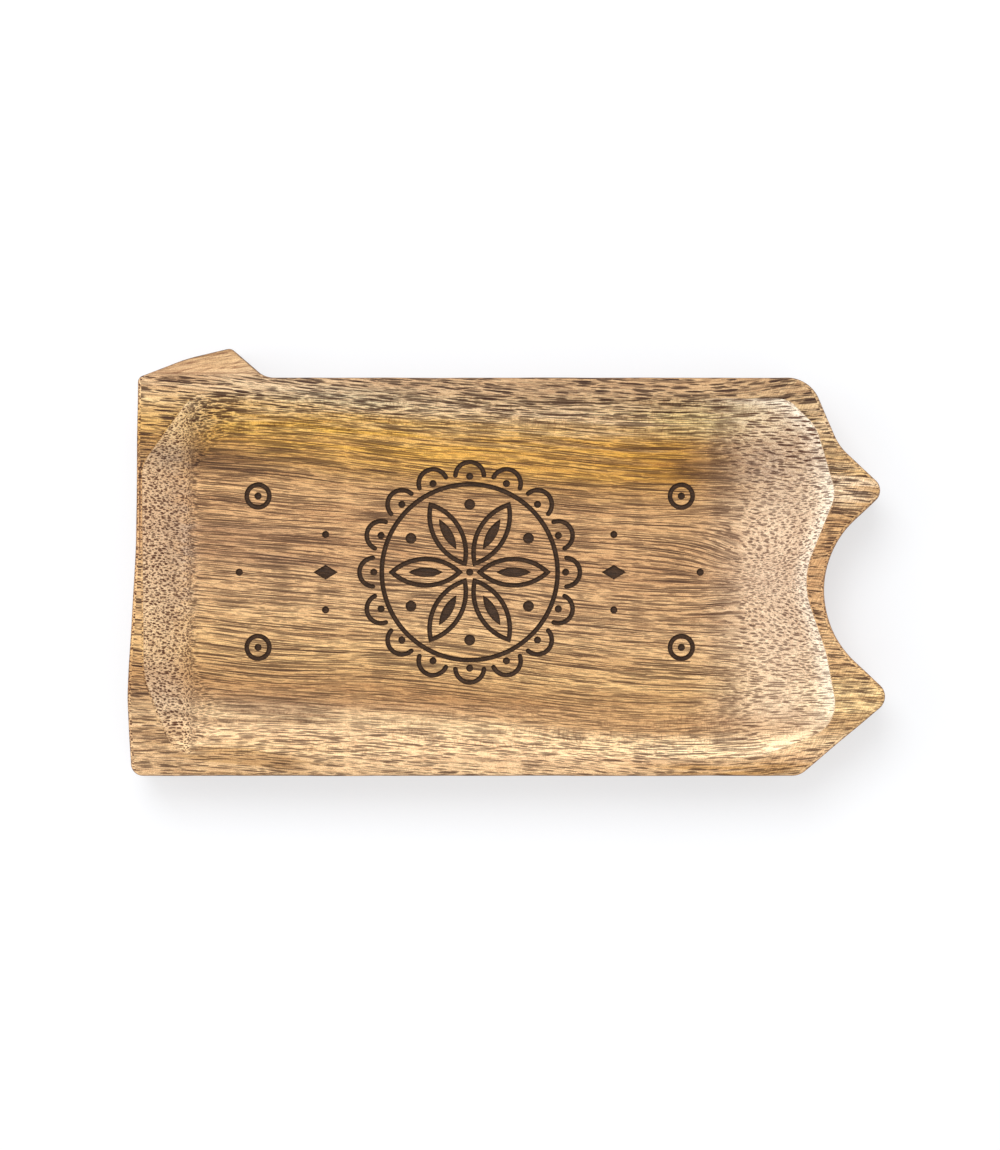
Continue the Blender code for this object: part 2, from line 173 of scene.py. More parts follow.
# Camera and paper
IMAGE_HEIGHT = 1150
SENSOR = 36.0  # width of the camera's sensor
PIXELS_PER_MM = 6.3333  # at the rim
RIM_TO_CAMERA = 501.0
CAMERA_ASIDE = (-0.947, -2.053)  # place of the camera over the dish, from its middle
NEAREST_SEEN, FARTHEST_SEEN = 0.05, 10.0  # metres
PAPER_REACH = 6.0  # metres from the dish to each edge of the paper
PAPER_COLOUR = (0.87, 0.89, 0.93, 1.0)
PAPER_GLOW = 1.15
GLOW_SHARE = 0.5  # share of the glow in what the camera sees of the paper
WHITE = (1.0, 1.0, 1.0, 1.0)

# Softboxes: place in metres from the dish, and size
KEY_PLACE = (-0.15, 0.37, 0.72)
SIDE_PLACE = (-0.62, 0.10, 0.50)
SOFTBOX_SIZE = 0.45


def seen(red, green, blue):
    """Linear colour, with alpha, of a shade given as it shows on a screen, from 0 to 255."""
    shares = np.array([red, green, blue]) / 255
    linear = np.where(shares <= 0.04045, shares / 12.92, ((shares + 0.055) / 1.055) ** 2.4)
    return (*linear.tolist(), 1.0)


# Colour bands of the board as they show on a screen, by place across the grain from the dish's middle line
BANDS = (
    (-33.0, (232, 188, 140)),
    (-29.5, (240, 194, 146)),
    (-27.2, (240, 198, 148)),
    (-25.0, (192, 144, 96)),
    (-22.0, (190, 140, 88)),
    (-18.0, (221, 173, 114)),
    (-9.0, (218, 171, 120)),
    (0.0, (206, 156, 107)),
    (9.0, (208, 158, 106)),
    (12.5, (193, 144, 90)),
    (15.5, (197, 144, 80)),
    (18.5, (211, 162, 96)),
    (21.5, (223, 181, 128)),
    (24.5, (230, 192, 150)),
    (27.0, (200, 161, 120)),
    (33.0, (202, 157, 109)),
)
BAND_REACH = 34.0
RING_SWAY = 1.9  # how far the growth rings shift the bands

# Soft stains in the wood, and painted light on the lower wall: middle and spread along the board and across
# the grain, strength, colour
STAINS = (
    ((-51.0, 20.0), (6.0, 5.0), 0.4, (186, 146, 94)),  # upper left corner
    ((-46.0, 12.8), (9.0, 2.0), 1.2, (122, 82, 50)),  # dark smudge beside the left wall
    ((-44.0, -0.5), (7.0, 4.5), 0.35, (158, 114, 80)),  # brown patch on the floor
    ((-37.0, 1.2), (12.0, 0.9), 0.7, (140, 98, 70)),  # brown streaks across it
    ((-37.0, -3.0), (12.0, 0.9), 0.6, (146, 104, 74)),
    ((-51.0, -3.0), (1.6, 12.0), 0.35, (208, 180, 156)),  # pale strip before the left wall
    ((-53.0, -2.0), (2.0, 22.0), 0.4, (166, 124, 88)),  # brown strip up the left wall
    ((-40.0, -27.2), (22.0, 2.4), 0.9, (178, 138, 98)),  # lower left
    ((-56.0, -30.0), (6.0, 5.0), 0.6, (190, 146, 100)),
    ((31.0, 18.8), (16.0, 3.4), 1.35, (136, 84, 32)),  # orange brown before the upper lobe
    ((34.0, 24.8), (13.0, 2.4), 0.6, (222, 188, 118)),  # pale upper right wall
    ((53.0, 15.8), (6.0, 3.0), 1.1, (238, 202, 162)),  # upper point
    ((46.0, 26.0), (4.0, 3.0), 0.6, (180, 140, 92)),  # upper right shoulder
    ((-45.0, 29.5), (9.0, 2.4), 0.8, (190, 148, 102)),  # ear
    ((-52.0, 25.5), (9.0, 3.4), 0.7, (200, 154, 110)),  # upper left rim
    ((54.0, -20.0), (7.0, 4.0), 1.0, (246, 204, 144)),  # lower point
    ((-23.0, 18.0), (28.0, 4.2), 0.8, (228, 170, 74)),  # golden streaks
    ((14.0, 19.0), (22.0, 4.2), 0.6, (222, 160, 62)),
    ((-27.0, 24.5), (14.0, 1.6), 0.4, (176, 164, 134)),  # dull, slightly green
    ((31.0, -28.0), (10.0, 2.0), 0.35, (252, 218, 176)),  # painted light on the lower wall, right, which faces the key lamp
    ((35.0, -31.2), (14.0, 1.8), 1.1, (196, 146, 90)),  # lower rim, right
    ((-42.0, -35.0), (12.0, 2.8), 1.2, (190, 144, 94)),  # lower rim, left
)

# Run of the grain: it falls to the right, turns up in both right corners, and is drawn in towards a small eye
GRAIN_FALL = 0.08
TURN_START = 26.0
TURN_SOFTNESS = 12.0
UPPER_TURN = 0.18
UPPER_TURN_ZONE = (12.0, 32.0)
LOWER_TURN = 0.15
LOWER_TURN_ZONE = (-12.0, -30.0)
EYE = (39.2, -3.0)
EYE_SPREAD = (8.5, 5.0)
EYE_PULL = 0.9
DRIFT = 4.0
SWAY = 0.35
EAR_MIDDLE = -44.0
EAR_TURN = 0.25

# Zones of the wood: each fades in from the first place to the second
RIGHT_ZONE = (23.0, 42.0)
LEFT_ZONE = (-48.5, -51.5)
LEFT_PALE_ZONE = (-44.0, -53.0)
GOLDEN_ZONE = (6.0, 14.0)
UPPER_ZONE = (8.0, 18.0)
LOWER_ZONE = (-18.0, -24.0)
LOWER_PALE_ZONE = (-21.0, -28.0)
CORNER_ZONE = (7.0, 19.0)  # distance from the pocket's middle line
EAR_ACROSS = (29.4, 29.9)
EAR_ALONG = (-36.0, -38.0)
CREASE_LINE = 29.85
LOW_ZONE = (2.6, 0.4)  # heights above the floor
ENGRAVED_MIDDLE = (-6.0, -1.5)
ENGRAVED_HALF = (43.5, 22.5)
ENGRAVED_DEEPEST = 1.5  # below the floor
DARKEST_TONE = 0.25

# Pores that lie in the surface: length and width of a cell, and a seed
SHORT_PORES = ((4.4, 0.34, 0.0), (3.0, 0.28, 57.7))
LONG_PORES = ((14.0, 0.28, 17.1), (8.0, 0.27, 91.3))
FINE_PORES = (1.8, 0.24, 41.3)
THREADS = (24.0, 0.24, 133.3)

# Least and most radius of a pore, as shares of a cell
SHORT_SIZES = (0.18, 0.54)
LONG_SIZES = (0.18, 0.52)
FINE_SIZES = (0.16, 0.44)
THREAD_SIZES = (0.22, 0.52)
PORE_SOFTNESS = 0.12
FAINTEST_PORE = 0.8

# Pores cut across: width of a cell, a seed, and the least and most radius
WIDE_DOTS = (0.38, 73.9, 0.24, 0.50)
NARROW_DOTS = (0.30, 29.3, 0.14, 0.40)


class DishSizes(bpy.types.PropertyGroup):
    """Sizes of the dish that a maker may want to change."""

    thickness: bpy.props.FloatProperty(
        name="Thickness", description="Height of the block", default=CAD_BOX[1][2],
        min=0.008, max=0.04, unit="LENGTH", subtype="DISTANCE")
    pocket_depth: bpy.props.FloatProperty(
        name="Pocket depth", description="Depth of the flat floor below the rim", default=4.2 * MM,
        min=0.002, max=0.012, unit="LENGTH", subtype="DISTANCE")
    eased_edge: bpy.props.FloatProperty(
        name="Eased edge", description="How far the outer edges are sanded back", default=0.7 * MM,
        min=0.0002, max=0.001, unit="LENGTH", subtype="DISTANCE")
    arris_wear: bpy.props.FloatProperty(
        name="Arris wear", description="Width of the rounding along the pocket's edge", default=0.45 * MM,
        min=0.0001, max=0.001, unit="LENGTH", subtype="DISTANCE")
    unevenness: bpy.props.FloatProperty(
        name="Unevenness", description="Depth of the shallow waves left by hand sanding", default=0.09 * MM,
        min=0, max=0.0003, unit="LENGTH", subtype="DISTANCE")
    line_width: bpy.props.FloatProperty(
        name="Line width", description="Width of the engraved lines", default=0.8 * MM,
        min=0.0003, max=0.0012, unit="LENGTH", subtype="DISTANCE")
    line_depth: bpy.props.FloatProperty(
        name="Line depth", description="Depth of the engraved lines", default=0.4 * MM,
        min=0.0001, max=0.001, unit="LENGTH", subtype="DISTANCE")
    medallion_radius: bpy.props.FloatProperty(
        name="Medallion radius", description="Radius of the medallion's ring", default=14 * MM,
        min=0.008, max=0.016, unit="LENGTH", subtype="DISTANCE")


class WoodFinish(bpy.types.PropertyGroup):
    """Colours and sheen of the oiled hardwood."""

    pore: bpy.props.FloatVectorProperty(
        name="Pores", description="What the open pores leave of the wood's colour", subtype="COLOR", size=4,
        default=(0.06, 0.03, 0.03, 1.0), min=0, max=1)
    cut_pore: bpy.props.FloatVectorProperty(
        name="Cut pores", description="What pores cut across on the end walls leave of it", subtype="COLOR",
        size=4, default=(0.10, 0.035, 0.02, 1.0), min=0, max=1)
    # Pale colour of the cut end grain, mixed with painted sheen and painted light, for the pocket's end walls
    end_grain_sheen: bpy.props.FloatVectorProperty(
        name="Fresh wood", description="Pale colour where the scoop cuts across the fibres", subtype="COLOR",
        size=4, default=seen(248, 230, 208), min=0, max=1)
    burnt: bpy.props.FloatVectorProperty(
        name="Burnt lines", description="Colour of the engraved lines", subtype="COLOR", size=4,
        default=seen(52, 36, 24), min=0, max=1)
    charred: bpy.props.FloatVectorProperty(
        name="Charred wood", description="Lighter colour in the engraved lines", subtype="COLOR", size=4,
        default=seen(92, 66, 46), min=0, max=1)
    roughness: bpy.props.FloatProperty(
        name="Roughness", description="Roughness of the oiled surface between the pores", default=0.45,
        min=0, max=1, subtype="FACTOR")
    pore_share: bpy.props.FloatProperty(
        name="Pore strength", description="How dark the open pores look", default=1.0,
        min=0, max=1, subtype="FACTOR")


class StudioSettings(bpy.types.PropertyGroup):
    """Lamps round the dish."""

    key_lamp: bpy.props.FloatProperty(
        name="Key lamp", description="Power of the softbox beyond the ear", default=3.0,
        min=0, max=50, unit="POWER")
    side_lamp: bpy.props.FloatProperty(
        name="Side lamp", description="Power of the softbox beyond the left end", default=0.8,
        min=0, max=50, unit="POWER")
    fill: bpy.props.FloatProperty(
        name="Fill", description="Strength of the even light from all round", default=0.66,
        min=0, max=2, subtype="FACTOR")


def unit_vectors(vectors):
    """Each vector divided by its own length."""
    return vectors / np.linalg.norm(vectors, axis=1)[:, None]


def corner_arcs(corners):
    """Centre, radius, first angle and turn of the arc in each corner of a polygon.

    An arc of radius r touches both sides of a corner with half angle h, so its centre lies r / sin h from
    the corner on the bisector, and it starts r / tan h from the corner.
    """
    place, radius = corners[:, :2], corners[:, 2]
    back = unit_vectors(np.roll(place, 1, 0) - place)
    ahead = unit_vectors(np.roll(place, -1, 0) - place)
    half = np.arccos((back * ahead).sum(axis=1)) / 2
    centre = place + unit_vectors(back + ahead) * (radius / np.sin(half))[:, None]
    touch = (radius / np.tan(half))[:, None]
    start = place + back * touch - centre
    end = place + ahead * touch - centre
    first = np.arctan2(start[:, 1], start[:, 0])
    turn = (np.arctan2(end[:, 1], end[:, 0]) - first + math.pi) % (2 * math.pi) - math.pi
    return centre, radius, first, turn


def rounded_path(corners, stations, inset=0.0):
    """Points of a polygon with round corners, at stations.

    A station is a corner's number plus a share. The first half of the share runs along that corner's arc
    and the second half along the straight to the next arc. An inset path is parallel, because its arcs keep
    their centres and change their radii.
    """
    centre, radius, first, turn = corner_arcs(corners)
    radius = radius - np.copysign(inset, turn)
    number = np.floor(stations).astype(int) % len(corners)
    share = stations - np.floor(stations)
    angle = first[number] + turn[number] * np.clip(2 * share, 0, 1)
    arc = centre[number] + radius[number, None] * np.stack([np.cos(angle), np.sin(angle)], axis=1)
    beyond = (number + 1) % len(corners)
    start = centre[beyond] + radius[beyond, None] * np.stack(
        [np.cos(first[beyond]), np.sin(first[beyond])], axis=1)
    return arc + (start - arc) * np.clip(2 * share - 1, 0, 1)[:, None]


def even_stations(corners, arc_step, straight_step):
    """Stations that divide every arc by angle and every straight by length."""
    turn = np.abs(corner_arcs(corners)[3])
    ends = rounded_path(corners, np.arange(len(corners)) + 0.5)
    starts = rounded_path(corners, (np.arange(len(corners)) + 1) % len(corners) * 1.0)
    lengths = np.linalg.norm(starts - ends, axis=1)
    pieces = []
    for number in range(len(corners)):
        on_arc = max(2, math.ceil(turn[number] / arc_step))
        on_straight = max(1, math.ceil(lengths[number] / straight_step))
        pieces.append(number + np.arange(on_arc) / on_arc / 2)
        pieces.append(number + 0.5 + np.arange(on_straight) / on_straight / 2)
    return np.concatenate(pieces)


def smoothed_loop(values, reach):
    """A closed row of values, each replaced by the mean of its neighbours within reach."""
    kernel = np.hanning(2 * reach + 3)[1:-1]
    padded = np.concatenate([values[-reach:], values, values[:reach]])
    return np.convolve(padded, kernel / kernel.sum(), "valid")


def nearest_stations(corners, points):
    """For each point the station of the nearest point of a rounded path, smoothed along the loop."""
    fine = np.arange(0, len(corners), STATION_STEP)
    path = rounded_path(corners, fine)
    gaps = np.linalg.norm(points[:, None, :] - path[None, :, :], axis=2)
    angle = np.unwrap(fine[np.argmin(gaps, axis=1)] * 2 * math.pi / len(corners))
    steady = np.arange(len(points)) / len(points) * 2 * math.pi
    return (smoothed_loop(angle - steady, STEADYING) + steady) / (2 * math.pi) * len(corners)


def reach_towards(corners, bearings):
    """Distance from the floor's middle to a rounded path in each direction."""
    fine = rounded_path(corners, even_stations(corners, ARC_STEP / 2, STRAIGHT_STEP / 2)) - FLOOR_MIDDLE
    angles = np.arctan2(fine[:, 1], fine[:, 0])
    return np.interp(bearings, angles, np.hypot(fine[:, 0], fine[:, 1]), period=2 * math.pi)


def waves(x, y):
    """Shallow unevenness from 0 to 1: a sum of sine waves that cross at odd angles."""
    total = sum(height * np.sin(along * x + across * y + phase) for along, across, phase, height in WAVES)
    return 0.5 + total / (2 * sum(wave[3] for wave in WAVES))


def top_height(points, sizes):
    """Height of the rim: flat with shallow waves, and sloping down beyond the ear's crease.

    The slope begins softly: the depth grows as the distance past the crease, blended in by a hyperbola.
    """
    past = points[..., 1] - EAR_CREASE
    eased = (past + np.sqrt(past ** 2 + CREASE_SOFTNESS ** 2)) / 2
    uneven = sizes.unevenness / MM * waves(points[..., 0], points[..., 1])
    return sizes.thickness / MM - uneven - eased * math.tan(EAR_SLOPE)


def crease_share(outer, inner):
    """Share of the way from the outer ring to the inner one at the ear's crease, and a little elsewhere."""
    span = inner[:, 1] - outer[:, 1]
    span = np.where(np.abs(span) < 1e-6, 1e-6, span)
    share = (EAR_CREASE - outer[:, 1]) / span
    return np.where(outer[:, 1] > EAR_CREASE, np.clip(share, *CREASE_SHARES), CREASE_SHARES[0])


def at_height(points, height):
    """A ring in space from points (x, y) and one height for all or one for each."""
    return np.column_stack([points, np.broadcast_to(height, len(points))])


def scooped_rise(share):
    """Height of the wall's section at a share of its width, both from 0 at the floor to 1 at the top.

    It is a branch of a hyperbola, level at the floor: the root of share squared plus softness squared.
    """
    rise = math.hypot(share, SCOOP_SOFTNESS) - SCOOP_SOFTNESS
    return rise / (math.hypot(1, SCOOP_SOFTNESS) - SCOOP_SOFTNESS)


def dish_rings(sizes):
    """Rings of the whole surface, from the underside up the side, over the rim and down to the floor.

    One parameter runs round the outline and the other across it. The side is the outline carried straight
    up, its two edges are quarter circles between parallel outlines, the rim joins the outline to the pocket's
    edge in straight shares, the arris is a parabola between rim and wall, and the wall follows scooped_rise
    along straight lines towards the middle of the floor.
    """
    eased = sizes.eased_edge / MM
    stations = even_stations(BLANK_CORNERS, ARC_STEP, STRAIGHT_STEP)
    outer = rounded_path(BLANK_CORNERS, stations)
    inner = rounded_path(BLANK_CORNERS, stations, eased)
    inward = unit_vectors(inner - outer)
    uneven = waves(outer[:, 0] * WEAR_RATE, outer[:, 1] * WEAR_RATE + WEAR_SHIFT)
    wear = (LEAST_WEAR + sizes.unevenness / MM * uneven)[:, None]
    outer = outer + inward * wear
    inner = inner + inward * wear
    pocket = rounded_path(POCKET_CORNERS, nearest_stations(POCKET_CORNERS, outer))
    toward = pocket - FLOOR_MIDDLE
    rim_reach = np.hypot(toward[:, 0], toward[:, 1])
    floor_reach = reach_towards(FLOOR_CORNERS, np.arctan2(toward[:, 1], toward[:, 0]))
    direction = toward / rim_reach[:, None]
    lip = pocket + direction * (sizes.arris_wear / MM)

    rings = []
    for turn in np.linspace(0, math.pi / 2, LOWER_EDGE_RINGS):
        rings.append(at_height(inner + (outer - inner) * math.sin(turn), eased * (1 - math.cos(turn))))
    top = top_height(inner, sizes)
    for share in SIDE_SHARES:
        rings.append(at_height(outer, eased + (top - 2 * eased) * share))
    for turn in np.linspace(math.pi / 2, 0, UPPER_EDGE_RINGS):
        loop = inner + (outer - inner) * math.sin(turn)
        rings.append(at_height(loop, top - eased * (1 - math.cos(turn))))
    crease = crease_share(inner, lip)[:, None]
    shares = [crease * part for part in OUTER_RIM_SHARES]
    shares += [crease + (1 - crease) * part for part in INNER_RIM_SHARES]
    for share in shares:
        loop = inner + (lip - inner) * share
        rings.append(at_height(loop, top_height(loop, sizes)))

    floor_height = (sizes.thickness - sizes.pocket_depth) / MM
    lip_height = top_height(lip, sizes)
    wall_height = top_height(pocket, sizes) - floor_height

    def wall(share):
        reach = floor_reach + (rim_reach - floor_reach) * share
        return FLOOR_MIDDLE + direction * reach[:, None], floor_height + wall_height * scooped_rise(share)

    low, low_height = wall(WALL_TOP)
    edge_height = wall_height + floor_height
    for share in ARRIS_SHARES:
        first, second, third = (1 - share) ** 2, 2 * share * (1 - share), share ** 2
        loop = first * lip + second * pocket + third * low
        rings.append(at_height(loop, first * lip_height + second * edge_height + third * low_height))
    for share in np.linspace(WALL_TOP, 0, WALL_RINGS):
        rings.append(at_height(*wall(share)))
    return np.array(rings)


def ring_faces(rings, closed, first=0):
    """Four-sided faces between neighbouring rings of points, which are numbered from first on.

    Closed rings also join the last ring to the first, and open ones get a flat face over each end.
    """
    count, around = rings.shape[:2]
    index = np.arange(count * around).reshape(count, around) + first
    if closed:
        index = np.vstack([index, index[:1]])
    beside = np.roll(index, -1, 1)
    quads = np.stack([index[:-1], beside[:-1], beside[1:], index[1:]], axis=-1).reshape(-1, 4).tolist()
    if closed:
        return quads
    return quads + [index[0, ::-1].tolist(), index[-1].tolist()]


def mesh_object(name, places, faces):
    """A mesh object in the scene, from places in millimetres that are centred and turned into metres."""
    mesh = bpy.data.meshes.new(name)
    mesh.from_pydata(((places - (*CENTRE, 0)) * MM).tolist(), [], faces)
    made = bpy.data.objects.new(name, mesh)
    bpy.context.scene.collection.objects.link(made)
    return made


class Engraving:
    """Collects engraved marks as closed solids that reach from above the floor to the lines' depth."""

    def __init__(self, sizes):
        self.half = sizes.line_width / MM / 2
        self.floor = (sizes.thickness - sizes.pocket_depth) / MM
        self.depth = sizes.line_depth / MM
        self.places = []
        self.faces = []
        self.count = 0

    def levels(self):
        """Height and sideways shrinking of a mark's walls: upright above the floor, leaning in below it."""
        return ((self.floor + CUTTER_ABOVE, 0.0), (self.floor, 0.0),
                (self.floor - LINE_BEND * self.depth, LINE_LEAN / 2), (self.floor - self.depth, LINE_LEAN))

    def keep(self, rings, closed):
        """Adds a solid from rings, closed across its first and last ring or round from last to first."""
        rings = np.array(rings)
        self.faces += ring_faces(rings, closed, self.count)
        self.places.append(rings.reshape(-1, 3))
        self.count += len(self.places[-1])

    def pit(self, outline):
        """A filled mark. outline gives the anticlockwise outline when it is shrunk by a distance."""
        self.keep([at_height(outline(shrink), height) for height, shrink in self.levels()[::-1]], False)

    def line(self, outline):
        """A closed line of the usual width. outline gives the loop grown by a distance, minus for inwards."""
        rings = []
        for side, levels in ((1, self.levels()[::-1]), (-1, self.levels())):
            rings += [at_height(outline(side * (self.half - shrink)), height) for height, shrink in levels]
        self.keep(rings, True)


def arc_points(centre, radius, start, turn, steps):
    """Points along an arc from the angle start, turning by turn in equal steps."""
    angles = start + turn * np.arange(steps + 1) / steps
    return np.asarray(centre) + radius * np.stack([np.cos(angles), np.sin(angles)], axis=1)


def circle(centre, radius, sides):
    """A circle's points, as a function of how far it is grown."""
    return lambda grown: arc_points(centre, radius + grown, 0, 2 * math.pi, sides)[:-1]


def turned(outline, angle, centre):
    """An outline turned about the origin, then moved to the centre."""
    cosine, sine = math.cos(angle), math.sin(angle)
    return lambda grown: outline(grown) @ np.array([[cosine, sine], [-sine, cosine]]) + centre


def lens(start, end, sag):
    """A pointed lens along x: two arcs, each standing sag off the chord, whose radii grow together."""
    half = (end - start) / 2
    radius = (half ** 2 + sag ** 2) / (2 * sag)
    middle = (start + end) / 2

    def outline(grown):
        wide = radius + grown
        opening = math.acos((radius - sag) / wide)
        upper = arc_points((middle, sag - radius), wide, math.pi / 2 - opening, 2 * opening, PETAL_STEPS)
        return np.concatenate([upper[:-1], (upper[::-1] * (1, -1))[:-1]])

    return outline


def scallop_sizes(ring_radius, half_line):
    """Distance of the scallops' centres from the medallion's, and their radius."""
    share = math.sin(math.pi / SCALLOPS)
    end = math.cos(SCALLOP_SPREAD)
    inside = ring_radius + half_line + SCALLOP_CLEAR
    distance = (inside + SCALLOP_GAP / 2 * end) / (1 + share * end)
    return distance, distance * share - half_line - SCALLOP_GAP / 2


def round_ended_arc(distance, radius, spread, half):
    """Outline of a line along an arc whose back is turned to +x, with half circles at both ends."""

    def outline(shrink):
        width = half - shrink
        outer = arc_points((distance, 0), radius + width, -spread, 2 * spread, SCALLOP_STEPS)
        inner = arc_points((distance, 0), radius - width, spread, -2 * spread, SCALLOP_STEPS)
        ends = []
        for side, first in ((1, spread), (-1, math.pi - spread)):
            end = np.array([distance + radius * math.cos(spread), side * radius * math.sin(spread)])
            ends.append(arc_points(end, width, first, math.pi, CAP_STEPS)[1:-1])
        return np.concatenate([outer, ends[0], inner, ends[1]])

    return outline


def engrave_medallion(marks, ring_radius):
    """Ring, petals with hearts, beads, scallops with dots, and the small marks beside them."""
    half = marks.half
    middle = FLOOR_MIDDLE
    left, lower = FLOOR_CORNERS[:, :2].min(axis=0)
    right, upper = FLOOR_CORNERS[:, :2].max(axis=0)

    def dot(place, radius=DOT_RADIUS):
        shape = circle(place, radius, DOT_SIDES)
        marks.pit(lambda shrink: shape(-shrink))

    marks.line(circle(middle, ring_radius, RING_SIDES))
    dot(middle)
    petal_end = ring_radius - half - PETAL_GAP
    petal = lens(PETAL_START + half, petal_end - half, PETAL_SAG - half)
    heart = lens(PETAL_START + HEART_INSET, petal_end - HEART_INSET, HEART_SAG)
    for number in range(PETALS):
        angle = 2 * math.pi * number / PETALS
        marks.line(turned(petal, angle, middle))
        turned_heart = turned(heart, angle, middle)
        marks.pit(lambda shrink, shape=turned_heart: shape(-shrink))
        aside = angle + math.pi / PETALS
        dot(middle + (ring_radius - BEAD_IN) * np.array([math.cos(aside), math.sin(aside)]), BEAD_RADIUS)
    distance, radius = scallop_sizes(ring_radius, half)
    scallop = round_ended_arc(distance, radius, SCALLOP_SPREAD - SCALLOP_TRIM, half)
    for number in range(SCALLOPS):
        angle = 2 * math.pi * number / SCALLOPS
        marks.pit(turned(scallop, angle, middle))
        dot(middle + distance * np.array([math.cos(angle), math.sin(angle)]))
    aside = distance + radius + half + DIAMOND_CLEAR + DIAMOND_LENGTH / 2
    diamond = np.array([(1, 0), (0, 1), (-1, 0), (0, -1)]) * (DIAMOND_LENGTH, DIAMOND_WIDTH) / 2
    for side in (-1, 1):
        place = middle + (side * aside, 0)
        marks.pit(lambda shrink, place=place: diamond * (1 - DIAMOND_LEAN * shrink) + place)
        for step in (-1, 1):
            dot(place + (0, step * DOT_ASIDE))
    for x in (left + RINGLET_IN, right - RINGLET_IN):
        for y in (lower + RINGLET_IN, upper - RINGLET_IN):
            marks.line(circle((x, y), RINGLET_RADIUS, RINGLET_SIDES))
            dot((x, y))
    for x in (left + SIDE_DOT_IN, right - SIDE_DOT_IN):
        dot((x, middle[1]))


def cut_away(body, cutter):
    """Take the cutter's space out of the body for good, and remove the cutter."""
    cut = body.modifiers.new(cutter.name, "BOOLEAN")
    cut.operation = "DIFFERENCE"
    cut.solver = "EXACT"
    cut.object = cutter
    whole = body.data
    body.data = bpy.data.meshes.new_from_object(body.evaluated_get(bpy.context.evaluated_depsgraph_get()))
    body.modifiers.remove(cut)
    bpy.data.meshes.remove(whole)
    bpy.data.meshes.remove(cutter.data)


class Value:
    """A number that varies over the surface: one socket of a node, with arithmetic that adds Math nodes."""

    def __init__(self, graph, socket):
        self.graph = graph
        self.socket = socket

    def __add__(self, other):
        return self.graph.math("ADD", self, other)

    def __radd__(self, other):
        return self.graph.math("ADD", other, self)

    def __sub__(self, other):
        return self.graph.math("SUBTRACT", self, other)

    def __rsub__(self, other):
        return self.graph.math("SUBTRACT", other, self)

    def __mul__(self, other):
        return self.graph.math("MULTIPLY", self, other)

    def __rmul__(self, other):
        return self.graph.math("MULTIPLY", other, self)

    def __truediv__(self, other):
        return self.graph.math("DIVIDE", self, other)

    def __pow__(self, other):
        return self.graph.math("POWER", self, other)

    def __abs__(self):
        return self.graph.math("ABSOLUTE", self)


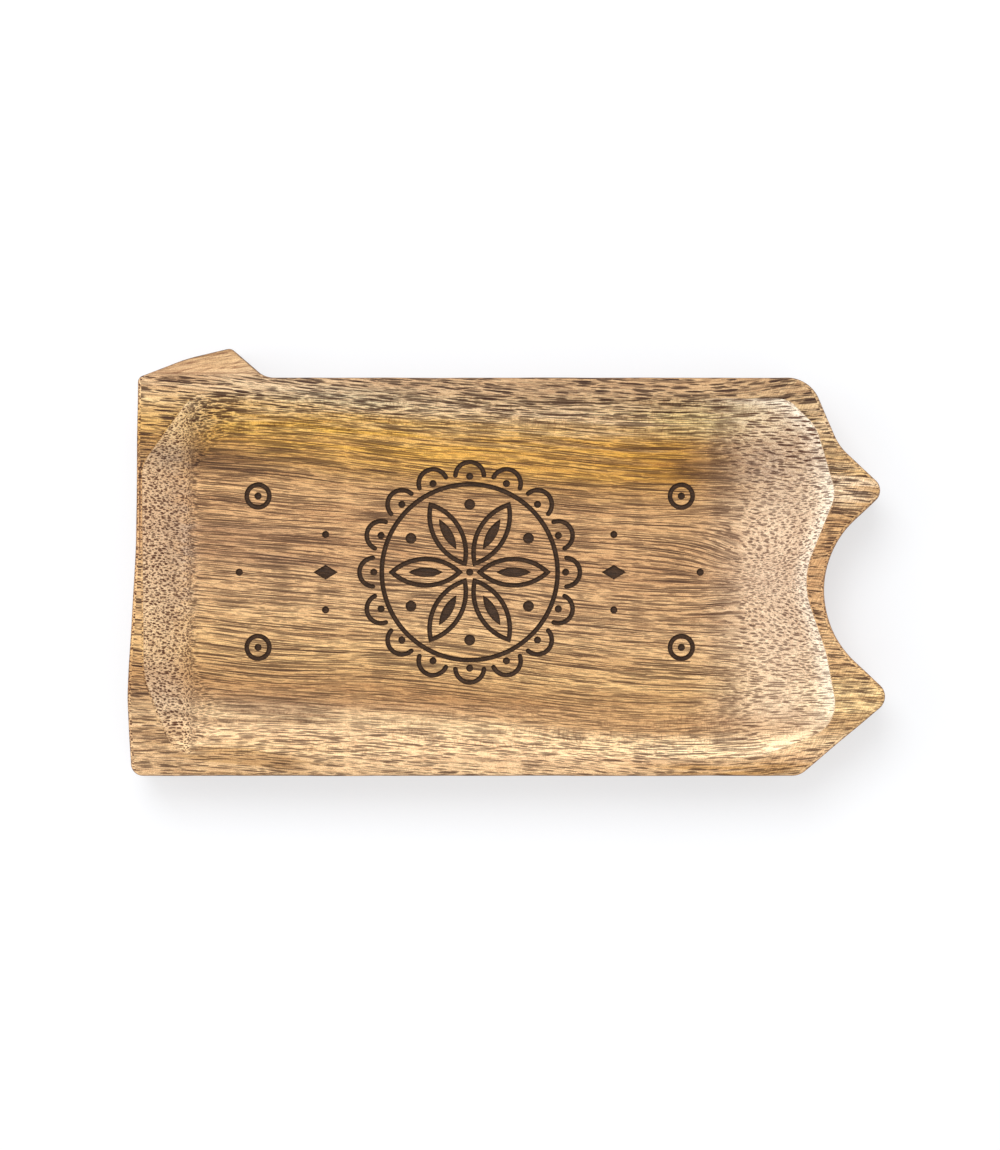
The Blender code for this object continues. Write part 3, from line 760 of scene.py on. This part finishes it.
class Graph:
    """Builds the nodes of one material or world."""

    def __init__(self, owner):
        owner.use_nodes = True
        self.tree = owner.node_tree
        self.tree.nodes.clear()

    def node(self, kind, settings=None, **sockets):
        """One node: its settings are set first, then each socket gets a value or a link."""
        made = self.tree.nodes.new("ShaderNode" + kind)
        for name, setting in (settings or {}).items():
            if name == "stops":
                self.set_stops(made.color_ramp, setting)
            else:
                setattr(made, name, setting)
        for name, value in sockets.items():
            found = self.socket_of(made, name)
            if isinstance(value, Value):
                self.tree.links.new(value.socket, found)
            elif isinstance(value, bpy.types.NodeSocket):
                self.tree.links.new(value, found)
            else:
                found.default_value = value
        return made

    def socket_of(self, node, name):
        """The enabled input whose name, written with underscores, or place (in0, in1, ...) is given."""
        if name.startswith("in") and name[2:].isdigit():
            return [s for s in node.inputs if s.enabled][int(name[2:])]
        wanted = name.replace("_", " ").lower()
        return next(s for s in node.inputs if s.enabled and s.name.lower() == wanted)

    def set_stops(self, ramp, stops):
        """Fill a colour ramp with (position, colour) stops."""
        while len(ramp.elements) < len(stops):
            ramp.elements.new(0.5)
        for element, (position, colour) in zip(ramp.elements, stops):
            element.position = position
            element.color = colour

    def math(self, operation, *values):
        """A Math node on numbers or varying values."""
        sockets = {f"in{place}": value for place, value in enumerate(values)}
        return Value(self, self.node("Math", {"operation": operation}, **sockets).outputs[0])

    def largest(self, first, *others):
        """The largest of several values."""
        for other in others:
            first = self.math("MAXIMUM", first, other)
        return first

    def smooth(self, value, start, end):
        """A smooth step from 0 at start to 1 at end."""
        made = self.node("MapRange", {"interpolation_type": "SMOOTHSTEP"}, value=value, from_min=start,
                         from_max=end, to_min=0.0, to_max=1.0)
        return Value(self, made.outputs[0])

    def spot(self, x, y, place, spread):
        """A soft oval spot: one at its middle, falling off as the bell curve of the distance over spread."""
        along = (x - place[0]) / spread[0]
        across = (y - place[1]) / spread[1]
        return self.math("POWER", math.exp(-1), along * along + across * across)

    def combine(self, x, y, z=0.0):
        """A vector from three numbers."""
        return self.node("CombineXYZ", x=x, y=y, z=z).outputs[0]

    def split(self, vector):
        """The three numbers of a vector."""
        return [Value(self, socket) for socket in self.node("SeparateXYZ", vector=vector).outputs]

    def attribute(self, name):
        """The node that reads what a mesh keeps on its points under a name."""
        return self.node("Attribute", {"attribute_type": "GEOMETRY", "attribute_name": name})

    def noise(self, x, y, z, detail, roughness=0.5):
        """Soft noise round 0.5 at a place given by three numbers."""
        made = self.node("TexNoise", {"noise_dimensions": "3D"}, vector=self.combine(x, y, z), scale=1.0,
                         detail=detail, roughness=roughness)
        return Value(self, made.outputs[0])

    def crossings(self, noise, width):
        """Thin soft lines where a noise crosses its middle."""
        return self.smooth(abs(noise - 0.5), width, 0.0)

    def cells(self, kind, point, least, most):
        """Grains of a cell pattern, each with its own radius from least to most and its own strength."""
        settings = {"voronoi_dimensions": kind, "feature": "F1"}
        sample = self.node("TexVoronoi", settings, vector=point, scale=1.0)
        chances = self.node("SeparateColor", color=sample.outputs["Color"])
        radius = Value(self, chances.outputs[0]) * (most - least) + least
        grain = self.smooth(radius - Value(self, sample.outputs["Distance"]), 0.0, PORE_SOFTNESS)
        return grain * (FAINTEST_PORE + (1 - FAINTEST_PORE) * Value(self, chances.outputs[1]))

    def colours(self, factor, first, second, blend="MIX"):
        """Two colours mixed by a factor."""
        made = self.node("Mix", {"data_type": "RGBA", "blend_type": blend, "clamp_factor": True},
                         factor=factor, a=first, b=second)
        return made.outputs["Result"]


class Board:
    """The board as its material sees it: places, the way the surface faces, soft zones, grain and fibres.

    The pattern is solid, so every face shows the cut that it makes. A zone goes from 0 outside to 1 inside.
    """

    def __init__(self, graph, floor):
        self.graph = graph
        self.floor = floor
        metres = graph.node("TexCoord").outputs["Object"]
        place = graph.node("Mapping", {"vector_type": "POINT"}, vector=metres, scale=(1 / MM,) * 3)
        self.x, self.y, self.z = graph.split(place.outputs[0])
        facing = graph.attribute("facing").outputs["Vector"]
        self.facing_x, self.facing_y, self.facing_z = graph.split(facing)
        self.climb = Value(graph, graph.attribute("climb").outputs["Fac"])
        self.mark_zones()
        self.run = self.grain_run()
        self.wander = self.streaks(self.y, 0.22, 0.8, 1.0)
        self.ring = graph.noise(self.x * 0.012, self.run * 0.55, self.z * 0.5, 3.0, 0.6)
        self.patch = graph.smooth(self.streaks(self.run, 0.05, 0.9, 2.0, 0.6), 0.38, 0.62)
        self.vein = graph.crossings(self.streaks(self.run, 0.03, 1.0, 2.0, 0.6), 0.03)
        self.fibre = self.streaks(self.run, 0.06, 2.2, 3.0, 0.8)
        self.hair = self.streaks(self.run, 0.45, 5.0, 2.0, 0.7)
        self.speck = self.streaks(self.y, 5.5, 6.0, 2.0, 0.7)
        self.ray = graph.crossings(self.streaks(self.y, 1.3, 0.30, 1.0), 0.05)

    def streaks(self, across, along_rate, across_rate, detail, roughness=0.5):
        """Noise drawn out along the board: rates for each mm along it, and for each across and through it."""
        place = self.x * along_rate, across * across_rate, self.z * across_rate
        return self.graph.noise(*place, detail, roughness)

    def mark_zones(self):
        """Soft zones, by the way the surface faces, its climb up the pocket's wall and its place."""
        smooth, x, y = self.graph.smooth, self.x, self.y
        self.end = smooth(abs(self.facing_x), 0.06, 0.46)
        self.side = smooth(abs(self.facing_y), 0.10, 0.45)
        self.scooped = smooth(self.climb, 1.0, 0.985)
        self.outside = smooth(self.climb, 0.99, 1.0)
        self.low = smooth(self.z, *(self.floor + height for height in LOW_ZONE))
        self.right = smooth(x - abs(y) * 0.15, *RIGHT_ZONE)
        self.left = smooth(x, *LEFT_ZONE)
        self.golden = smooth(y, *GOLDEN_ZONE)
        self.lower = smooth(y, *LOWER_ZONE)
        self.upper = smooth(y, *UPPER_ZONE) * self.right * self.scooped
        on_top = smooth(x, *EAR_ALONG) * smooth(self.facing_z, 0.5, 0.8)
        self.ear = smooth(y, *EAR_ACROSS) * on_top
        self.crease = smooth(abs(y - CREASE_LINE), 0.22, 0.05) * on_top

    def grain_run(self):
        """Place across the grain: the same all along a fibre, so it is y bent by the way the grain runs."""
        graph, x, y = self.graph, self.x, self.y
        beyond = graph.math("SMOOTH_MAX", x - TURN_START, 0.0, TURN_SOFTNESS)
        turning = graph.smooth(y, *UPPER_TURN_ZONE) * UPPER_TURN
        turning += graph.smooth(y, *LOWER_TURN_ZONE) * LOWER_TURN
        eye = graph.spot(x, y, EYE, EYE_SPREAD)
        drift = self.streaks(y, 0.020, 0.06, 1.0)
        sway = self.streaks(y, 0.085, 0.30, 2.0)
        return (y + x * GRAIN_FALL - beyond * turning + (y - EYE[1]) * eye * EYE_PULL + (drift - 0.5) * DRIFT
                + (sway - 0.5) * SWAY - self.ear * (x - EAR_MIDDLE) * EAR_TURN)


def cut_across(board):
    """How far a face cuts across the fibres: the pocket's end walls do, and so do the ends outside."""
    smooth = board.graph.smooth
    right_wall = smooth(board.climb + (board.wander - 0.5) * 0.8, -0.85, 0.35) * board.right
    left_wall = smooth(board.climb, 0.0, 0.30) * board.left
    ends = smooth(abs(board.facing_x), 0.1, 0.3) * board.outside
    return board.graph.largest((right_wall + left_wall) * (1 - board.outside), ends)


def lying_pores(board):
    """Pores that lie in a level face, as dashes: cells in space that are drawn out along the board."""
    graph, low = board.graph, board.low
    growth = board.golden * 0.04 - board.lower * 0.03

    def dashes(pore, least, most):
        length, width, seed = pore
        point = graph.combine(board.x / length + seed, board.run / width, board.z / width)
        return graph.cells("3D", point, least, most)

    short = graph.largest(*(dashes(pore, SHORT_SIZES[0], SHORT_SIZES[1] + growth) for pore in SHORT_PORES))
    long = graph.largest(*(dashes(pore, LONG_SIZES[0], LONG_SIZES[1] + growth) for pore in LONG_PORES))
    fine = dashes(FINE_PORES, *FINE_SIZES) * 0.7
    thread = dashes(THREADS, *THREAD_SIZES) * low
    long_share = graph.largest(low * 0.4 + 0.6, board.side * board.scooped)
    return graph.largest(short * (1 - low * 0.4), fine, long * long_share, thread)


def cut_pores(board):
    """Pores that are cut across, as dots: cells in the plane of the grain's run and the depth in the wood."""
    graph, right = board.graph, board.right
    edge = (graph.smooth(board.climb, -0.9, 0.2) * right
            + graph.smooth(board.climb, -0.3, 0.1) * board.left) * board.scooped
    corner = graph.smooth(abs(board.y - ENGRAVED_MIDDLE[1]), *CORNER_ZONE)
    deep = (board.z - board.floor) * (1 - corner * right * 0.5) + edge * 1.4 + (board.wander - 0.5) * 0.6

    def dots(width, seed, least, most, shrinking):
        point = graph.combine(board.run / width + seed, deep / width)
        return graph.cells("2D", point, least, most - right * shrinking)

    return graph.largest(dots(*WIDE_DOTS, 0.07), dots(*NARROW_DOTS, 0.05) * 0.8)


def open_pores(board, cut):
    """Depth of the open pores: dashes that give way to dots where the fibres are cut across."""
    graph = board.graph
    dashes = lying_pores(board) * graph.smooth(cut, 0.85, 0.3)
    dots = cut_pores(board) * graph.smooth(cut, 0.1, 0.5)
    pore = graph.largest(dashes, dots)
    pore = pore * (1 - cut * board.right * (1 - board.upper) * 0.14) * (1 - board.lower * (1 - cut) * 0.12)
    return pore * (1 - board.ear * 0.85) * (1 - board.low * 0.08)


def wood_colour(board, end_grain_sheen):
    """Colour between the pores: bands across the grain, stains, and on the pocket's end walls pale end grain
    with painted sheen, plus a painted highlight along the top of the right wall.
    """
    graph, smooth, climb = board.graph, board.graph.smooth, board.climb
    position = (board.run + (board.ring - 0.5) * RING_SWAY) / (2 * BAND_REACH) + 0.5
    stops = [(place / (2 * BAND_REACH) + 0.5, seen(*colour)) for place, colour in BANDS]
    wood = graph.node("ValToRGB", {"stops": stops}, fac=position).outputs[0]
    for middle, spread, strength, colour in STAINS:
        stain = graph.spot(board.x, board.run, middle, spread) * strength * (0.5 + board.patch)
        wood = graph.colours(stain, wood, seen(*colour))
    # Painted sheen and light: the floor's right end and the right wall grow paler up the wall, with a painted
    # highlight along the right wall's top; the left wall is painted a little paler. The pale colour also
    # stands for the cut end grain.
    right_wall = (smooth(climb, -1.1, 0.5) * 0.40 + smooth(climb, 0.75, 0.98) * 0.3) * board.right
    left_wall = smooth(climb, 0.0, 0.8) * smooth(board.x, *LEFT_PALE_ZONE) * 0.2
    pale = (right_wall + left_wall) * board.scooped * (1 - smooth(board.y, *LOWER_PALE_ZONE) * 0.8)
    return graph.colours(pale, wood, end_grain_sheen)


def wood_tone(board, cut):
    """How light the wood is: by zone, with painted sheen that lightens the pocket's walls, growth rings,
    fibres, veins, rays, specks and sanding marks.
    """
    graph, x, y, end, right = board.graph, board.x, board.y, board.end, board.right
    long_walls = board.side * board.scooped
    # Painted sheen: the pocket's long walls are a fifth lighter, and faces that cut across the fibres are a
    # fifth lighter too, as pale end grain with painted sheen.
    zones = (1.14 + cut * 0.20 + board.ear * 0.12 + long_walls * 0.20 - board.upper * 0.22
             - end * 0.13 - right * graph.smooth(board.climb, 1.0, 0.7) * 0.16)
    fibres = (board.fibre - 0.5) * (0.7 + board.golden * 0.35) * (1 - end * 0.5) + (board.hair - 0.5) * 1.1
    rays = board.ray * long_walls * board.patch
    scratch = graph.noise(x * 0.2 + y * 0.4, x * 4.0 - y * 2.0, 0.0, 1.0)
    sanded = graph.smooth(board.climb, 1.0, 1.02) * right * graph.smooth(board.facing_z, 0.7, 0.95)
    tone = (zones + fibres + (board.ring - 0.5) * 0.5 - board.vein * 0.2 + (board.speck - 0.5) * 1.5
            - rays * 0.35 + (scratch - 0.5) * sanded)
    strand = graph.crossings(graph.noise(x * 0.05, (y - x * 0.22) * 0.8, 0.0, 2.0, 0.6), 0.035) * board.ear
    steep = graph.smooth(board.facing_z, 0.84, 0.3)
    tone = graph.largest(tone, DARKEST_TONE) * (1 - steep * 0.5)
    return tone * (1 - strand * 0.45) * (1 - board.crease * 0.35)


def engraved_share(board):
    """The engraved lines: whatever lies below the floor's level inside the pocket."""
    graph, floor = board.graph, board.floor
    near_x = graph.math("LESS_THAN", abs(board.x - ENGRAVED_MIDDLE[0]), ENGRAVED_HALF[0])
    near_y = graph.math("LESS_THAN", abs(board.y - ENGRAVED_MIDDLE[1]), ENGRAVED_HALF[1])
    near_z = graph.math("GREATER_THAN", board.z, floor - ENGRAVED_DEEPEST)
    return graph.smooth(board.z, floor - 0.01, floor - 0.10) * near_x * near_y * near_z


def wood_material(finish, floor):
    """Open-pored hardwood, oiled: its pores are dashes, or dots where they are cut across."""
    material = bpy.data.materials.new("oiled_hardwood")
    graph = Graph(material)
    board = Board(graph, floor)
    cut = cut_across(board)
    pore = open_pores(board, cut)
    wood = wood_colour(board, tuple(finish.end_grain_sheen))
    tone = wood_tone(board, cut)
    tint = graph.combine(tone, tone ** 1.3, tone ** 1.45)  # darker wood is redder too
    shade = graph.node("VectorMath", {"operation": "MULTIPLY"}, in0=wood, in1=tint)
    left_by_pores = graph.colours(cut, tuple(finish.pore), tuple(finish.cut_pore))
    pored = graph.colours(pore * finish.pore_share, shade.outputs[0], left_by_pores, "MULTIPLY")
    flaked = graph.smooth((board.hair + board.speck) * 0.5, 0.40, 0.72)
    char = graph.colours(flaked, tuple(finish.burnt), tuple(finish.charred))
    sunk = engraved_share(board)
    colour = graph.colours(sunk, pored, char)
    rough = finish.roughness + pore * 0.25 + sunk * 0.25 + (board.speck - 0.5) * 0.15
    height = 1.0 - pore * 0.6 + (board.fibre - 0.5) * 0.25 + (board.hair - 0.5) * 0.15
    bump = graph.node("Bump", strength=0.5, distance=0.05 * MM, height=height)
    shader = graph.node("BsdfPrincipled", base_color=colour, roughness=rough, ior=1.5,
                        specular_ior_level=0.3, normal=bump.outputs[0])
    graph.node("OutputMaterial", surface=shader.outputs[0])
    return material


def keep_surface_values(mesh, floor_height):
    """Store on each point which way the surface faces, and how far it has climbed the pocket's wall.

    The facing is level on the floor, between the lines cut into it too. The climb is the share of the way
    from the floor's edge, 0, to the pocket's edge, 1, below 0 on the floor and above 1 on the rim.
    """
    facing = np.empty(len(mesh.vertices) * 3)
    mesh.vertex_normals.foreach_get("vector", facing)
    facing = facing.reshape(-1, 3)
    places = np.empty(len(mesh.vertices) * 3)
    mesh.vertices.foreach_get("co", places)
    places = places.reshape(-1, 3)
    toward = places[:, :2] / MM + CENTRE - FLOOR_MIDDLE
    bearings = np.arctan2(toward[:, 1], toward[:, 0])
    start = reach_towards(FLOOR_CORNERS, bearings)
    climb = (np.hypot(toward[:, 0], toward[:, 1]) - start) / (reach_towards(POCKET_CORNERS, bearings) - start)
    above_floor = places[:, 2] - floor_height
    on_floor = (above_floor < 0.01 * MM) & (above_floor > -MM) & (climb < 0.5)
    facing[on_floor] = (0, 0, 1)
    kept = mesh.attributes.new("facing", "FLOAT_VECTOR", "POINT")
    kept.data.foreach_set("vector", facing.ravel())
    kept = mesh.attributes.new("climb", "FLOAT", "POINT")
    kept.data.foreach_set("value", climb)


class CarveDish(bpy.types.Operator):
    """Build the dish: the worn block with its scooped pocket, and the medallion cut into the floor"""

    bl_idname = "trinket_dish.carve"
    bl_label = "Carve dish"

    def execute(self, context):
        sizes = context.scene.dish_sizes
        floor = sizes.thickness - sizes.pocket_depth
        rings = dish_rings(sizes)
        dish = mesh_object("carved_dish_wood", rings.reshape(-1, 3), ring_faces(rings, False))
        marks = Engraving(sizes)
        engrave_medallion(marks, sizes.medallion_radius / MM)
        cut_away(dish, mesh_object("medallion_cutter", np.concatenate(marks.places), marks.faces))
        dish.data.shade_smooth()
        dish.data.set_sharp_from_angle(angle=SHARP_ANGLE)
        keep_surface_values(dish.data, floor)
        dish.data.materials.clear()
        dish.data.materials.append(wood_material(context.scene.wood_finish, floor / MM))
        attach(dish, "root")
        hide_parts("carved_dish")
        return {"FINISHED"}


def white_paper():
    """Paper that keeps the dish's shadow and looks white to the camera, to which it also glows."""
    paper = bpy.data.materials.new("white_paper")
    graph = Graph(paper)
    viewed = Value(graph, graph.node("LightPath").outputs["Is Camera Ray"])
    lit = graph.node("BsdfDiffuse", color=PAPER_COLOUR)
    glow = graph.node("Emission", color=WHITE, strength=PAPER_GLOW)
    mixed = graph.node("MixShader", in0=viewed * GLOW_SHARE, in1=lit.outputs[0], in2=glow.outputs[0])
    graph.node("OutputMaterial", surface=mixed.outputs[0])
    return paper


def studio_world(fill):
    """Even light from all round, of strength fill, which looks white to the camera and in reflections."""
    world = bpy.data.worlds.new("studio")
    graph = Graph(world)
    path = graph.node("LightPath")
    rays = ("Is Camera Ray", "Is Glossy Ray", "Is Transmission Ray")
    shown = graph.largest(*(Value(graph, path.outputs[ray]) for ray in rays))
    background = graph.node("Background", color=WHITE, strength=shown * (1.0 - fill) + fill)
    graph.node("OutputWorld", surface=background.outputs[0])
    return world


def softbox(name, place, power):
    """An area lamp at a place in metres, turned to face the dish."""
    lamp = bpy.data.lights.new(name, "AREA")
    lamp.shape = "SQUARE"
    lamp.size = SOFTBOX_SIZE
    lamp.energy = power
    made = bpy.data.objects.new(name, lamp)
    x, y, z = place
    made.location = place
    made.rotation_euler = (math.atan2(math.hypot(x, y), z), 0, math.atan2(y, x) + math.pi / 2)
    bpy.context.scene.collection.objects.link(made)


def overhead_camera():
    """A camera that looks straight down. The sensor's width spans the frame's longer side, its height."""
    data = bpy.data.cameras.new("camera")
    data.sensor_width = SENSOR
    data.lens = PIXELS_PER_MM * RIM_TO_CAMERA * SENSOR / IMAGE_HEIGHT
    data.clip_start = NEAREST_SEEN
    data.clip_end = FARTHEST_SEEN
    camera = bpy.data.objects.new("camera", data)
    camera.location = (CAMERA_ASIDE[0] * MM, CAMERA_ASIDE[1] * MM, CAD_BOX[1][2] + RIM_TO_CAMERA * MM)
    bpy.context.scene.collection.objects.link(camera)
    return camera


class SetStage(bpy.types.Operator):
    """Set up the white paper, the lamps and the camera that looks straight down"""

    bl_idname = "trinket_dish.stage"
    bl_label = "Set stage"

    def execute(self, context):
        studio = context.scene.studio_settings
        sheet = bpy.data.meshes.new("floor")
        corners = [(-PAPER_REACH, -PAPER_REACH, 0), (PAPER_REACH, -PAPER_REACH, 0),
                   (PAPER_REACH, PAPER_REACH, 0), (-PAPER_REACH, PAPER_REACH, 0)]
        sheet.from_pydata(corners, [], [(0, 1, 2, 3)])
        sheet.materials.append(white_paper())
        ground = bpy.data.objects.new("floor", sheet)
        context.scene.collection.objects.link(ground)
        softbox("key_softbox", KEY_PLACE, studio.key_lamp)
        softbox("side_softbox", SIDE_PLACE, studio.side_lamp)
        context.scene.world = studio_world(studio.fill)
        context.scene.camera = overhead_camera()
        context.scene.view_settings.view_transform = "Standard"
        return {"FINISHED"}


class DishPanel(bpy.types.Panel):
    """Sizes, finish and studio of the dish, with the buttons that build them"""

    bl_idname = "VIEW3D_PT_trinket_dish"
    bl_label = "Trinket dish"
    bl_space_type = "VIEW_3D"
    bl_region_type = "UI"
    bl_category = "Dish"

    def draw(self, context):
        buttons = (("dish_sizes", CarveDish), ("wood_finish", None), ("studio_settings", SetStage))
        for group, operator in buttons:
            column = self.layout.column()
            settings = getattr(context.scene, group)
            for name in settings.__annotations__:
                column.prop(settings, name)
            if operator:
                column.operator(operator.bl_idname)


CLASSES = (DishSizes, WoodFinish, StudioSettings, CarveDish, SetStage, DishPanel)


def register():
    """Register the classes and give the scene their settings."""
    for item in CLASSES:
        bpy.utils.register_class(item)
    bpy.types.Scene.dish_sizes = bpy.props.PointerProperty(type=DishSizes)
    bpy.types.Scene.wood_finish = bpy.props.PointerProperty(type=WoodFinish)
    bpy.types.Scene.studio_settings = bpy.props.PointerProperty(type=StudioSettings)


def unregister():
    """Take the settings and the classes away again."""
    for name in ("studio_settings", "wood_finish", "dish_sizes"):
        delattr(bpy.types.Scene, name)
    for item in reversed(CLASSES):
        bpy.utils.unregister_class(item)


def main():
    """Register the add-on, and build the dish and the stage."""
    register()
    bpy.ops.trinket_dish.carve()
    bpy.ops.trinket_dish.stage()


if __name__ == "__main__":
    main()
